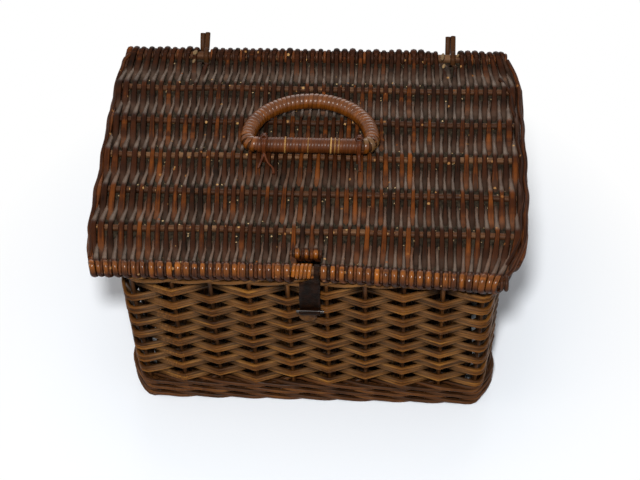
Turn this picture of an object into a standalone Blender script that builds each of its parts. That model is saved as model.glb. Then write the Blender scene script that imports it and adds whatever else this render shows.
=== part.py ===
"""Old wicker picnic basket with a hinged lid.

A rectangular body of willow: upright stakes in front of and behind which bands of rods
are woven, a base of the same work, and a border that the stake ends run on into. The lid
is seven lying sticks with one rod woven to and fro across them. Two willow loops hinge
it, a wrapped D-shaped handle lies tied on its top, and a leather strap with a peg in its
rolled end hangs from its front stick.

Units are metres, +Z is up, the front faces -Y, and the origin is the middle of the base
on the ground.
"""
import math

import bmesh
import bpy
from mathutils import Matrix, Vector

# Fit of pieces that touch, and how far a tool runs past what it cuts
clearance = 0.0003
overrun = 0.005

# Body: the rounded rectangle that the stakes stand on
front_stakes = 8
side_stakes = 5
front_pitch = 0.0336
side_pitch = 0.0412
corner_radius = 0.025
wall_lean_share = 0.02
stake_radius = 0.0026
stake_foot = 0.001
stake_sides = 6

# Waling: the thick rods round the foot of the wall
wale_rods = 6
wale_height = 0.0044
wale_thickness = 0.0036

# Siding: bands of rods, one round of the basket each
siding_courses = 15
course_height = 0.0088
course_thickness = 0.0032

# Border: three strands that the stake ends run on into
border_strands = 3
border_rod_radius = 0.0022

# Base: sticks along the basket with a band woven across them
base_sticks = 5
base_stick_radius = 0.00325
base_passes = 19
base_band_thickness = 0.003
base_wear = 0.0005

# Lid: seven sticks with a rod woven across them
lid_stick_count = 7
lid_overhang = 0.0055
lid_stick_radius = 0.00325
lid_end_stick_radius = 0.0045
lid_stick_length = 0.3835
lid_end_stick_length = 0.367
lid_passes = 52
lid_weave_length = 0.382
lid_end_share = 0.955
lid_strand_thickness = 0.003
strand_gap = 0.0005

# Slot in the front of the lid, with its short stick and its binding
slot_passes = 4
slot_stick_radius = 0.0025
slot_stick_setback = 0.020
slot_binding_radius = 0.0015
slot_binding_turns = 5
slot_binding_gap = 0.0005

# Hinge loops of willow
hinge_left_x = -0.111
hinge_right_x = 0.1255
hinge_rod_radius = 0.002
hinge_end_length = 0.0234
hinge_end_rise = math.radians(30)

# Handle: a D of bent cane, wrapped, and its two ties
handle_width = 0.1268
handle_depth = 0.0715
handle_radius = 0.0073
handle_core_radius = 0.0045
handle_corner = 0.008
handle_setback = 0.002
bow_points = 13
tie_radius = 0.0013

# Hasp: a leather strap with a peg rolled into its end, and the tab under it
leather_thickness = 0.0016
strap_left_x = -0.0040
strap_right_x = 0.0134
tongue_width = 0.005
strap_drop = 0.004
strap_length = 0.040
peg_radius = 0.0014
peg_length = 0.024
tab_width = 0.016
tab_height = 0.0125
tab_thickness = 0.0024
tab_centre_x = 0.0024

# Places that follow from the sizes above
half_front = front_stakes / 2 * front_pitch
half_side = side_stakes / 2 * side_pitch
corner_arc = math.pi / 2 * corner_radius
perimeter = 4 * (half_front + half_side + corner_arc)
wall_depth = half_side + corner_radius
wale_step = wale_height + clearance
course_step = course_height + clearance
siding_foot = wale_rods * wale_step
siding_top = siding_foot + siding_courses * course_step - clearance
border_gap = 2 * (hinge_rod_radius + clearance)
border_twist_radius = (2 * border_rod_radius + clearance) / (math.sqrt(3) * math.cos(math.pi / 6))
border_reach = border_twist_radius + border_rod_radius
border_level = siding_top + border_gap + border_reach
lid_half_depth = wall_depth + lid_overhang
lid_stick_pitch = 2 * lid_half_depth / (lid_stick_count - 1)
turn_points = 5
turn_start = math.radians(95)
turn_step = 2 * turn_start / (turn_points - 1)


def wrap_reach(stick_radius, thickness):
    """Distance from a stick's axis to the outside of a band that is turned round it."""
    return (stick_radius + clearance + thickness) / math.cos(turn_step / 2)


lid_turn_reach = wrap_reach(lid_end_stick_radius, lid_strand_thickness)
lid_level = border_level + border_reach + clearance + lid_turn_reach
lid_weave_rise = (lid_stick_radius + clearance + lid_strand_thickness) / math.cos(
    math.atan(2 * (lid_stick_radius + lid_strand_thickness) / lid_stick_pitch))
handle_level = lid_level + lid_weave_rise + clearance + handle_radius
half_bar = handle_width / 2 - handle_radius - handle_corner
slot_stick_y = -lid_half_depth + slot_stick_setback
strap_forward = lid_turn_reach + clearance + leather_thickness / 2
strap_y = -lid_half_depth - strap_forward

willow_body = ("brown willow", (0.115, 0.052, 0.022, 1.0), 0.55)
willow_lid = ("dark lid willow", (0.085, 0.034, 0.018, 1.0), 0.5)
willow_stick = ("stick willow", (0.13, 0.06, 0.03, 1.0), 0.6)
cane_wrap = ("varnished cane", (0.20, 0.075, 0.022, 1.0), 0.35)
strap_leather = ("black leather", (0.018, 0.012, 0.010, 1.0), 0.6)
tab_leather = ("brown leather", (0.07, 0.035, 0.018, 1.0), 0.65)

for leftover in list(bpy.data.objects):
    bpy.data.objects.remove(leftover, do_unlink=True)
basket = bpy.data.collections.new("picnic_basket")
cutters = bpy.data.collections.new("cutters")
bpy.context.scene.collection.children.link(basket)
bpy.context.scene.collection.children.link(cutters)


def finish_material(recipe):
    """The material of a recipe, made once."""
    name, colour, roughness = recipe
    material = bpy.data.materials.get(name)
    if material is None:
        material = bpy.data.materials.new(name)
        material.use_nodes = True
        shader = material.node_tree.nodes["Principled BSDF"]
        shader.inputs["Base Color"].default_value = colour
        shader.inputs["Roughness"].default_value = roughness
        shader.inputs["Metallic"].default_value = 0.0
    return material


def pivot(name, place, parent=None):
    """An empty on a joint's axis, which the moving pieces hang from."""
    empty = bpy.data.objects.new(name, None)
    empty.location = place
    basket.objects.link(empty)
    if parent is not None:
        empty.parent = parent
        empty.matrix_parent_inverse = Matrix.Translation(parent["place"]).inverted()
    empty["place"] = place
    return empty


def add_piece(name, data, recipe, parent=None):
    """Put a piece into the basket, shaped in place and hung from its pivot."""
    piece = bpy.data.objects.new(name, data)
    data.materials.append(finish_material(recipe))
    basket.objects.link(piece)
    if parent is not None:
        piece.parent = parent
        piece.matrix_parent_inverse = Matrix.Translation(parent["place"]).inverted()
    return piece


def add_cutter(name, mesh):
    """A tool shape that is kept apart from the pieces."""
    cutter = bpy.data.objects.new(name, mesh)
    cutter.hide_render = True
    cutter.display_type = "WIRE"
    cutters.objects.link(cutter)
    return cutter


def smooth(mesh, limit=math.radians(40)):
    mesh.shade_smooth()
    mesh.set_sharp_from_angle(angle=limit)


def rod(name, points, radius, recipe, closed=False, roundness=2, parent=None):
    """A rod of willow or cane along straight runs between its points."""
    curve = bpy.data.curves.new(name, "CURVE")
    curve.dimensions = "3D"
    curve.bevel_depth = radius
    curve.bevel_resolution = roundness
    curve.use_fill_caps = True
    spline = curve.splines.new("POLY")
    spline.points.add(len(points) - 1)
    for point, place in zip(spline.points, points):
        point.co = (*place, 1.0)
    spline.use_cyclic_u = closed
    return add_piece(name, curve, recipe, parent)


def as_mesh(source):
    """The closed mesh of a curve object, which it replaces."""
    bpy.context.view_layer.update()
    shape = source.evaluated_get(bpy.context.evaluated_depsgraph_get())
    mesh = bpy.data.meshes.new_from_object(shape)
    cage = bmesh.new()
    cage.from_mesh(mesh)
    bmesh.ops.remove_doubles(cage, verts=cage.verts, dist=clearance / 10)
    cage.to_mesh(mesh)
    cage.free()
    piece = bpy.data.objects.new(source.name, mesh)
    piece.matrix_world = source.matrix_world
    name = source.name
    bpy.data.objects.remove(source, do_unlink=True)
    piece.name = name
    basket.objects.link(piece)
    return piece


def chain(cage, points, closed=False):
    """Edges from point to point."""
    corners = [cage.verts.new(place) for place in points]
    edges = [cage.edges.new(pair) for pair in zip(corners, corners[1:])]
    if closed:
        edges.append(cage.edges.new((corners[-1], corners[0])))
    return edges


def widen(cage, edges, across):
    """Draw edges sideways into a strip of faces, and give the new far edges."""
    drawn = bmesh.ops.extrude_edge_only(cage, edges=edges)["geom"]
    bmesh.ops.translate(
        cage, vec=across, verts=[part for part in drawn if isinstance(part, bmesh.types.BMVert)])
    return drawn


def band(name, points, across, thickness, recipe, closed=False, parent=None):
    """A flat band of rods: a strip along the points with a wall of even thickness."""
    cage = bmesh.new()
    edges = chain(cage, [Vector(place) - Vector(across) / 2 for place in points], closed)
    widen(cage, edges, across)
    mesh = bpy.data.meshes.new(name)
    cage.to_mesh(mesh)
    cage.free()
    return give_wall(add_piece(name, mesh, recipe, parent), thickness)


def give_wall(piece, thickness):
    wall = piece.modifiers.new("wall", "SOLIDIFY")
    wall.thickness = thickness
    wall.offset = 0.0
    wall.use_even_offset = True
    wall.use_quality_normals = True
    return piece


def stick(name, centre, length, radius, recipe, sides=8, parent=None):
    """A straight stick lying along X."""
    cage = bmesh.new()
    bmesh.ops.create_cone(
        cage, cap_ends=True, segments=sides, radius1=radius, radius2=radius, depth=length,
        matrix=Matrix.Translation(centre) @ Matrix.Rotation(math.pi / 2, 4, "Y"))
    mesh = bpy.data.meshes.new(name)
    cage.to_mesh(mesh)
    cage.free()
    smooth(mesh, math.radians(50))
    return add_piece(name, mesh, recipe, parent)


def outline(length):
    """Place and outward direction on the body's outline, this far along it.

    The count starts at the middle of the front and goes to +X first.
    """
    rest = length % perimeter
    outward = Vector((0.0, -1.0))
    place = Vector((0.0, -wall_depth))
    for run in (half_front, 2 * half_side, 2 * half_front, 2 * half_side, half_front):
        heading = Vector((-outward.y, outward.x))
        if rest <= run:
            return place + heading * rest, outward
        place = place + heading * run
        rest -= run
        centre = place - outward * corner_radius
        turn = Matrix.Rotation(min(rest, corner_arc) / corner_radius, 2)
        outward = turn @ outward
        place = centre + outward * corner_radius
        if rest <= corner_arc:
            return place, outward
        rest -= corner_arc
    return place, outward


def stake_stations():
    """Lengths along the outline at which the stakes stand, one at each corner."""
    stations = []
    start = -half_front
    for count, pitch in ((front_stakes, front_pitch), (side_stakes, side_pitch)) * 2:
        stations += [start + (index + 0.5) * pitch for index in range(count)]
        start += count * pitch + corner_arc
        stations.append(start - corner_arc / 2)
    return stations


stations = stake_stations()


def weave_round(level, thickness, in_front):
    """Plan of a band that passes in front of some stakes and behind the others.

    At each stake the band stands off by what its bend there needs to clear the stake.
    """
    reach = stake_radius + clearance + thickness / 2
    lean = wall_lean_share * level
    reaches = [reach] * len(stations)
    for _ in range(3):
        corners = []
        for index, length in enumerate(stations):
            place, outward = outline(length)
            side = 1 if in_front(index) else -1
            corners.append(place + outward * (lean + side * reaches[index]))
        for index, corner in enumerate(corners):
            outward = outline(stations[index])[1]
            heading = Vector((-outward.y, outward.x))
            arriving = corner - corners[index - 1]
            leaving = corners[(index + 1) % len(corners)] - corner
            steepest = max(arriving.angle(heading), leaving.angle(heading))
            reaches[index] = reach / math.cos(steepest)
    return corners


def woven_ring(name, foot, height, thickness, in_front, recipe):
    """A round of weaving as an upright band."""
    level = foot + height / 2
    points = [(*corner, level) for corner in weave_round(level, thickness, in_front)]
    return band(name, points, (0.0, 0.0, height), thickness, recipe, closed=True)


def serpentine(passes, sticks, end_share, back_turn, front_turn, level, thickness):
    """Path of one band that is woven to and fro across sticks.

    A turn is a stick's number, place along Y and radius. The even passes run to the
    front and the odd ones back, over every second stick and under the others. On the
    outermost sticks the passes are drawn in towards the middle by a share.
    """
    path = []

    def along(number, x):
        return x * end_share if number in (0, len(sticks) - 1) else x

    def side(number, count):
        return 1 if (number + count) % 2 == 0 else -1

    def reach(radius):
        return radius + clearance + thickness / 2

    for count, x in enumerate(passes):
        back, front = back_turn(count), front_turn(count)
        places = [back] + [(number, *sticks[number]) for number in range(back[0] + 1, front[0])]
        places.append(front)
        if count == 0:
            number, y, radius = back
            start = level + side(number, count) * reach(radius) / math.cos(turn_step / 2)
            path.append((along(number, x), y, start))
        inner = []
        for before, here, after in zip(places, places[1:], places[2:]):
            number, y, radius = here
            nearest = min(abs(before[1] - y), abs(after[1] - y))
            slope = math.atan(2 * reach(radius) / nearest)
            inner.append((x, y, level + side(number, count) * reach(radius) / math.cos(slope)))
        path += inner if count % 2 == 0 else reversed(inner)
        (number, y, radius), ahead = (front, -1) if count % 2 == 0 else (back, 1)
        wide = reach(radius) / math.cos(turn_step / 2)
        if count == len(passes) - 1:
            path.append((along(number, x), y, level + side(number, count) * wide))
            break
        step_x = (passes[count + 1] - x) / (turn_points - 1)
        for step in range(turn_points):
            angle = turn_start - step * turn_step
            path.append((along(number, x + step * step_x),
                         y + ahead * wide * math.cos(angle),
                         level + side(number, count) * wide * math.sin(angle)))
    return path


def make_base():
    """Sticks and the band across them, worn flat where the basket stands."""
    reach = base_stick_radius + clearance + base_band_thickness / 2
    turn_reach = wrap_reach(base_stick_radius, base_band_thickness)
    wale_reach = stake_radius + clearance + wale_thickness / 2
    wale_bend = math.cos(math.atan(2 * wale_reach / front_pitch))
    wale_inside = wall_depth - (wale_reach + wale_thickness / 2) / wale_bend
    half_depth = wale_inside - clearance - turn_reach
    pitch = 2 * half_depth / (base_sticks - 1)
    rise = (reach + base_band_thickness / 2) / math.cos(math.atan(2 * reach / pitch))
    level = rise - base_wear
    sticks = [(half_depth - index * pitch, base_stick_radius) for index in range(base_sticks)]
    half_length = half_front + corner_radius - (wall_depth - wale_inside) - clearance
    base_pitch = 2 * half_length / base_passes
    end_share = half_front / half_length
    middle = (base_passes - 1) / 2
    passes = [(count - middle) * base_pitch for count in range(base_passes)]
    for index, (y, radius) in enumerate(sticks):
        half = half_front if index in (0, base_sticks - 1) else half_length
        stick(f"base_stick_{index + 1}", (0.0, y, level), 2 * half, radius, willow_stick)

    def back_turn(count):
        return (0, *sticks[0])

    def front_turn(count):
        return (base_sticks - 1, *sticks[-1])

    path = serpentine(passes, sticks, end_share, back_turn, front_turn, level, base_band_thickness)
    weaver = band("base_weaver", path, (base_pitch * end_share - strand_gap, 0.0, 0.0),
                  base_band_thickness, willow_body)
    ground = bmesh.new()
    bmesh.ops.create_cube(ground, size=1.0)
    bmesh.ops.scale(ground, vec=(2 * lid_weave_length, 2 * lid_weave_length, overrun), verts=ground.verts)
    bmesh.ops.translate(ground, vec=(0.0, 0.0, -overrun / 2), verts=ground.verts)
    mesh = bpy.data.meshes.new("ground")
    ground.to_mesh(mesh)
    ground.free()
    wear = weaver.modifiers.new("wear", "BOOLEAN")
    wear.operation = "DIFFERENCE"
    wear.object = add_cutter("ground", mesh)


def make_waling():
    """Rods that pass in front of two stakes and behind one, each a stake further on."""
    for rod_number in range(wale_rods):
        woven_ring(f"wale_rod_{rod_number + 1}", rod_number * wale_step, wale_height, wale_thickness,
                   lambda index, start=rod_number: (index + start) % 3 != 0, willow_body)


def make_siding():
    """Bands that pass in front of every second stake, each a stake further on."""
    for course in range(siding_courses):
        woven_ring(f"siding_course_{course + 1:02d}", siding_foot + course * course_step,
                   course_height, course_thickness,
                   lambda index, start=course: (index + start) % 2 == 0, willow_body)


def make_stakes_and_border():
    """Three strands laid as a rope, each run on from the tops of every third stake."""
    count = len(stations)
    for strand in range(border_strands):
        points = []
        for half in range(2 * count):
            index = half // 2
            here, following = stations[index], stations[(index + 1) % count]
            if following < here:
                following += perimeter
            place, outward = outline(here if half % 2 == 0 else (here + following) / 2)
            turn = 2 * math.pi * (half / 2 - strand) / border_strands - math.pi / 2
            place = place + outward * (wall_lean_share * border_level
                                       + border_twist_radius * math.cos(turn))
            points.append((*place, border_level + border_twist_radius * math.sin(turn)))
        name = f"stakes_and_border_strand_{strand + 1}"
        piece = as_mesh(rod(name, points, border_rod_radius, willow_body, closed=True, roundness=0))
        stakes = bmesh.new()
        top = border_level - border_twist_radius
        for index in range(strand, count, border_strands):
            place, outward = outline(stations[index])
            foot = Vector((*(place + outward * (wall_lean_share * stake_foot)), stake_foot))
            head = Vector((*(place + outward * (wall_lean_share * top)), top))
            upright = (head - foot).to_track_quat("Z", "Y").to_matrix().to_4x4()
            bmesh.ops.create_cone(
                stakes, cap_ends=True, segments=stake_sides, radius1=stake_radius,
                radius2=stake_radius, depth=(head - foot).length,
                matrix=Matrix.Translation((foot + head) / 2) @ upright)
        mesh = bpy.data.meshes.new(f"stakes_{strand + 1}")
        stakes.to_mesh(mesh)
        stakes.free()
        joined = piece.modifiers.new("stakes", "BOOLEAN")
        joined.operation = "UNION"
        joined.object = add_cutter(f"stakes_{strand + 1}", mesh)


def make_hinge_loops():
    """A rod passed under the border and over the lid's back stick, with both ends out."""
    axis = Vector((lid_half_depth, lid_level))
    rope = Vector((wall_depth + wall_lean_share * border_level, border_level))
    half_step = math.pi / 8
    round_stick = (lid_end_stick_radius + clearance + hinge_rod_radius) / math.cos(half_step)
    round_rope = (border_reach + clearance + hinge_rod_radius) / math.cos(half_step)
    tip = axis + hinge_end_length * Vector((math.cos(hinge_end_rise), math.sin(hinge_end_rise)))
    beside = hinge_rod_radius + clearance / 2
    outside = max(rope.x + round_rope * math.cos(half_step), axis.x + round_stick * math.cos(half_step))

    def around(centre, radius, steps):
        return [centre + radius * Vector((math.cos(step * half_step), math.sin(step * half_step)))
                for step in steps]

    down = [tip, Vector((outside, axis.y + hinge_rod_radius))] + around(rope, round_rope, (-1, -3, -5))
    up = around(rope, round_rope, (-7,)) + around(axis, round_stick, (7, 5, 3)) + [tip]
    for name, x in (("hinge_loop_left", hinge_left_x), ("hinge_loop_right", hinge_right_x)):
        points = [(x - beside, *place) for place in down] + [(x + beside, *place) for place in up]
        rod(name, points, hinge_rod_radius, willow_body, roundness=2)


def make_lid(hinge):
    """Sticks, the rod woven over them, and the short stick behind the slot."""
    sticks = []
    for index in range(lid_stick_count):
        outermost = index in (0, lid_stick_count - 1)
        radius = lid_end_stick_radius if outermost else lid_stick_radius
        length = lid_end_stick_length if outermost else lid_stick_length
        sticks.append((lid_half_depth - index * lid_stick_pitch, radius))
        stick(f"lid_stick_{index + 1}", (0.0, sticks[-1][0], lid_level), length, radius,
              willow_stick, parent=hinge)
    tie_gap = 2 * (tie_radius + clearance)
    pitch = (lid_weave_length - 2 * tie_gap) / lid_passes
    bar_straight = half_bar - tie_radius - clearance
    tie_pass = math.ceil((lid_weave_length / 2 - tie_gap / 2 - bar_straight) / pitch)
    passes = []
    for count in range(lid_passes):
        ties_before = (count >= tie_pass) + (count >= lid_passes - tie_pass)
        passes.append(-lid_weave_length / 2 + (count + 0.5) * pitch + ties_before * tie_gap)
    strand_width = pitch * lid_end_share - strand_gap
    slot_half = slot_passes / 2 * pitch * lid_end_share
    loop_half = 2 * hinge_rod_radius + 2 * clearance

    def back_turn(count):
        pair = (count, count + 1) if count % 2 == 1 else (count - 1, count)
        ends = [passes[end] for end in pair if 0 <= end < lid_passes]
        near_hinge = any(abs(end * share - x) < loop_half + strand_width / 2
                         for end in ends for share in (lid_end_share, 1)
                         for x in (hinge_left_x, hinge_right_x))
        number = 1 if near_hinge else 0
        return (number, *sticks[number])

    def front_turn(count):
        if abs(passes[count] * lid_end_share) < slot_half:
            return (lid_stick_count - 1, slot_stick_y, slot_stick_radius)
        return (lid_stick_count - 1, *sticks[-1])

    path = serpentine(passes, sticks, lid_end_share, back_turn, front_turn, lid_level,
                      lid_strand_thickness)
    band("lid_weaver", path, (strand_width, 0.0, 0.0), lid_strand_thickness, willow_lid, parent=hinge)
    stick("slot_stick", (0.0, slot_stick_y, lid_level), 2 * (slot_half - clearance), slot_stick_radius,
          willow_stick, parent=hinge)

    wound = lid_end_stick_radius + clearance + slot_binding_radius
    per_turn = 8
    rise = (2 * slot_binding_radius + slot_binding_gap) / per_turn
    start = -slot_half + slot_binding_radius + clearance
    coil = []
    for step in range(slot_binding_turns * per_turn + 1):
        angle = -math.pi / 2 + 2 * math.pi * step / per_turn
        wide = wound / math.cos(math.pi / per_turn)
        coil.append((start + step * rise, -lid_half_depth + wide * math.cos(angle),
                     lid_level + wide * math.sin(angle)))
    rod("slot_binding", coil, slot_binding_radius, cane_wrap, roundness=1, parent=hinge)
    apart = min((Vector(after) - Vector(before)).length
                for first, before in enumerate(coil) for after in coil[first + per_turn // 2:])
    print(f"The slot binding's turns lie {1000 * (apart - 2 * slot_binding_radius):.2f} mm apart")

    half_step = math.pi / 8
    round_bar = (handle_radius + clearance + tie_radius) / math.cos(half_step)
    round_stick = (lid_stick_radius + clearance + tie_radius) / math.cos(half_step)
    loop = [(handle_setback + round_bar * math.cos(step * half_step),
             handle_level + round_bar * math.sin(step * half_step)) for step in (-1, 1, 3, 5, 7, 9)]
    loop += [(round_stick * math.cos(step * half_step), lid_level + round_stick * math.sin(step * half_step))
             for step in (9, 11, 13, 15)]
    tie_x = passes[tie_pass] - pitch / 2 - tie_gap / 2
    for name, x in (("handle_tie_left", tie_x), ("handle_tie_right", -tie_x)):
        rod(name, [(x, *place) for place in loop], tie_radius, cane_wrap, closed=True,
            roundness=1, parent=hinge)


def make_handle(swing):
    """A core bent to a D, with one wrapping on its bow and one on its bar."""
    half_width = handle_width / 2 - handle_radius
    depth = handle_depth - 2 * handle_radius - handle_corner
    places = [(half_bar + handle_corner * math.sin(angle), -handle_corner * math.cos(angle))
              for angle in (0.0, math.pi / 6, math.pi / 3)]
    places += [(half_width * math.cos(angle), depth * math.sin(angle))
               for angle in [math.pi * index / (bow_points - 1) for index in range(bow_points)]]
    places += [(-x, y) for x, y in reversed(places[:3])]
    bow = [(x, handle_setback + handle_corner + y, handle_level) for x, y in places]
    rod("handle_core", bow, handle_core_radius, willow_stick, closed=True, roundness=1, parent=swing)
    bar_end = half_bar - handle_corner
    joint_right, joint_left = [(side * bar_end, handle_setback, handle_level) for side in (1, -1)]
    bar_right, bar_left = [(side * (bar_end - clearance), handle_setback, handle_level)
                           for side in (1, -1)]
    skin = handle_radius - handle_core_radius - clearance
    wraps = (("handle_bow_wrapping", [joint_right] + bow + [joint_left]),
             ("handle_bar_wrapping", [bar_right, bar_left]))
    for name, points in wraps:
        tube = rod(name, points, handle_radius - skin / 2, cane_wrap, roundness=3)
        tube.data.use_fill_caps = False
        wrapping = as_mesh(tube)
        wrapping.parent = swing
        wrapping.matrix_parent_inverse = Matrix.Translation(swing["place"]).inverted()
        smooth(wrapping.data)
        give_wall(wrapping, skin)


def make_hasp(swing):
    """A strap that hangs from a tongue round the front stick, its end rolled on a peg."""
    reach = lid_end_stick_radius + clearance + leather_thickness / 2
    half_step = math.pi / 8
    wide = reach / math.cos(half_step)
    tongue = [(-lid_half_depth - wide * math.cos(step * half_step), lid_level + wide * math.sin(step * half_step))
              for step in (11, 9, 7, 5, 3, 1, -1)]
    roll = (peg_radius + clearance + leather_thickness / 2) / math.cos(half_step)
    peg_y = strap_y - roll * math.cos(half_step)
    peg_level = lid_level - strap_drop - strap_length
    strap = [(strap_y, lid_level - strap_drop)]
    strap += [(peg_y - roll * math.cos(step * half_step), peg_level + roll * math.sin(step * half_step))
              for step in (9, 11, 13, 15, 17, 19)]
    cage = bmesh.new()
    edges = chain(cage, [(strap_right_x - tongue_width, *place) for place in tongue + strap])
    widen(cage, edges, (tongue_width, 0.0, 0.0))
    widen(cage, edges[len(tongue):], (strap_left_x - strap_right_x + tongue_width, 0.0, 0.0))
    bmesh.ops.recalc_face_normals(cage, faces=cage.faces)
    mesh = bpy.data.meshes.new("hasp_strap")
    cage.to_mesh(mesh)
    cage.free()
    give_wall(add_piece("hasp_strap", mesh, strap_leather, swing), leather_thickness)
    middle = (strap_left_x + strap_right_x) / 2
    stick("hasp_peg", (middle, peg_y, peg_level), peg_length, peg_radius, willow_stick, sides=6,
          parent=swing)
    return peg_level - roll - leather_thickness


def make_catch_tab(top):
    """A leather tab on the front wall, with a round lower end, just under the peg."""
    level = top - clearance - tab_height / 2
    reach = stake_radius + clearance + course_thickness / 2
    furthest = abs(tab_centre_x) + tab_width / 2
    stand_off = reach * furthest / (front_pitch / 2) + course_thickness / 2 + clearance
    y = -wall_depth - wall_lean_share * top - stand_off - tab_thickness / 2
    radius = tab_width / 2
    drop = tab_height / 2
    outline_points = [(radius, drop), (-radius, drop)]
    bend = tab_height - tab_thickness
    steps = 8
    for step in range(steps + 1):
        angle = math.pi * (1 + step / steps)
        outline_points.append((radius * math.cos(angle), drop - tab_thickness + bend * math.sin(angle)))
    curve = bpy.data.curves.new("catch_tab", "CURVE")
    curve.dimensions = "2D"
    curve.fill_mode = "BOTH"
    curve.extrude = tab_thickness / 2
    spline = curve.splines.new("POLY")
    spline.points.add(len(outline_points) - 1)
    for point, place in zip(spline.points, outline_points):
        point.co = (*place, 0.0, 1.0)
    spline.use_cyclic_u = True
    tab = add_piece("catch_tab", curve, tab_leather)
    tab.location = (tab_centre_x, y, level)
    tab.rotation_euler = (math.pi / 2, 0.0, 0.0)


make_base()
make_waling()
make_siding()
make_stakes_and_border()
make_hinge_loops()
lid_hinge = pivot("lid_hinge", (0.0, lid_half_depth, lid_level))
handle_swing = pivot("handle_swing", (0.0, handle_setback, handle_level), lid_hinge)
hasp_swing = pivot("hasp_swing", (0.0, -lid_half_depth, lid_level), lid_hinge)
make_lid(lid_hinge)
make_handle(handle_swing)
make_catch_tab(make_hasp(hasp_swing))
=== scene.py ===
"""Looks of an old wicker picnic basket with a hinged stick lid, round its CAD frame.

Units are metres. +X is the basket's right seen from the front, +Y its back, +Z up.
"""
import math

import bpy
import numpy as np
from mathutils import Matrix, Vector


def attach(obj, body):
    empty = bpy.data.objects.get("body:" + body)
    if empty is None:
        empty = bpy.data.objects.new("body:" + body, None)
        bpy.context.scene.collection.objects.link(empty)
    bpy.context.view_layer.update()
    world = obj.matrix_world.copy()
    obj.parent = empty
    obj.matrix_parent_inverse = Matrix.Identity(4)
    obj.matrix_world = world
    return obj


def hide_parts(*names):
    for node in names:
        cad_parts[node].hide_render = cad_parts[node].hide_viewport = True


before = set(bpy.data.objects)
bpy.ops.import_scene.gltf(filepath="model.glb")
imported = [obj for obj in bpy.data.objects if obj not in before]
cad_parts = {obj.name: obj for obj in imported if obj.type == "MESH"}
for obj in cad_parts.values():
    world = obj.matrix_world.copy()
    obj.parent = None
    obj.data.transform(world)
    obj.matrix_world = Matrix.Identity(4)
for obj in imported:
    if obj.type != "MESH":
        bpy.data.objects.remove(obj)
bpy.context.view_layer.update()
chance = np.random.default_rng(7)


# The camera stands a little right of the middle, in front and above, and looks down
# on the lid. It was fitted to the lid's sticks and the body's stakes in the photograph.
photo_width = 640
focal_pixels = 1576.6
camera_distance = 1.6151
camera_yaw = math.radians(-4.402)
camera_drop = math.radians(49.229)
camera_roll = math.radians(-2.077)
camera_aim = Vector((-0.0005, 0.0642, 0.0))


def stand(name, data):
    """A new object in the scene, at the origin."""
    made = bpy.data.objects.new(name, data)
    bpy.context.collection.objects.link(made)
    return made


forward = Vector((math.sin(camera_yaw) * math.cos(camera_drop),
                  math.cos(camera_yaw) * math.cos(camera_drop), -math.sin(camera_drop)))
level_right = Vector((math.cos(camera_yaw), -math.sin(camera_yaw), 0.0))
level_up = level_right.cross(forward)
right = math.cos(camera_roll) * level_right + math.sin(camera_roll) * level_up
up = -math.sin(camera_roll) * level_right + math.cos(camera_roll) * level_up
place = camera_aim - camera_distance * forward
camera_data = bpy.data.cameras.new("photo_camera")
camera_data.sensor_width = 36.0
camera_data.lens = focal_pixels / photo_width * camera_data.sensor_width
camera = stand("photo_camera", camera_data)
camera.matrix_world = Matrix(((right.x, up.x, -forward.x, place.x),
                              (right.y, up.y, -forward.y, place.y),
                              (right.z, up.z, -forward.z, place.z),
                              (0.0, 0.0, 0.0, 1.0)))
bpy.context.scene.camera = camera
bpy.context.scene.view_settings.view_transform = "Standard"


# A sheet of pale card in a pale room, under a small lamp in front, a wide soft one behind
# and a weak one from the left. Away from the basket the card is seen as plain white.
def paint(code):
    """An sRGB hex colour as the linear colour that a shader takes."""
    shares = [int(code[start:start + 2], 16) / 255 for start in (1, 3, 5)]
    return [s / 12.92 if s <= 0.04045 else ((s + 0.055) / 1.055) ** 2.4 for s in shares] + [1.0]


def add(tree, kind, sockets=(), **settings):
    """A node with its settings. An input takes a value, a link, or a node's first output in use."""
    made = tree.nodes.new(kind)
    for key, value in settings.items():
        setattr(made, key, value)
    for key, value in dict(sockets).items():
        if isinstance(value, bpy.types.Node):
            value = next(output for output in value.outputs if output.enabled)
        if isinstance(value, bpy.types.NodeSocket):
            tree.links.new(value, made.inputs[key])
        else:
            made.inputs[key].default_value = value
    return made


def cleared(made):
    """The emptied node tree of a new material or world."""
    made.use_nodes = True
    made.node_tree.nodes.clear()
    return made.node_tree


def stand_mesh(name, points, faces, finish):
    """A new object with these faces, all in one material."""
    mesh = bpy.data.meshes.new(name)
    mesh.from_pydata(points, [], faces)
    mesh.materials.append(finish)
    return stand(name, mesh)


def seen_itself(tree):
    """1 for the rays that look at a surface or at its reflection, 0 for the light it gives."""
    ray = add(tree, "ShaderNodeLightPath").outputs
    seen = add(tree, "ShaderNodeMath", {0: ray["Is Camera Ray"], 1: ray["Is Glossy Ray"]},
               operation="MAXIMUM")
    return add(tree, "ShaderNodeMath", {0: seen, 1: ray["Is Transmission Ray"]},
               operation="MAXIMUM")


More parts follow.
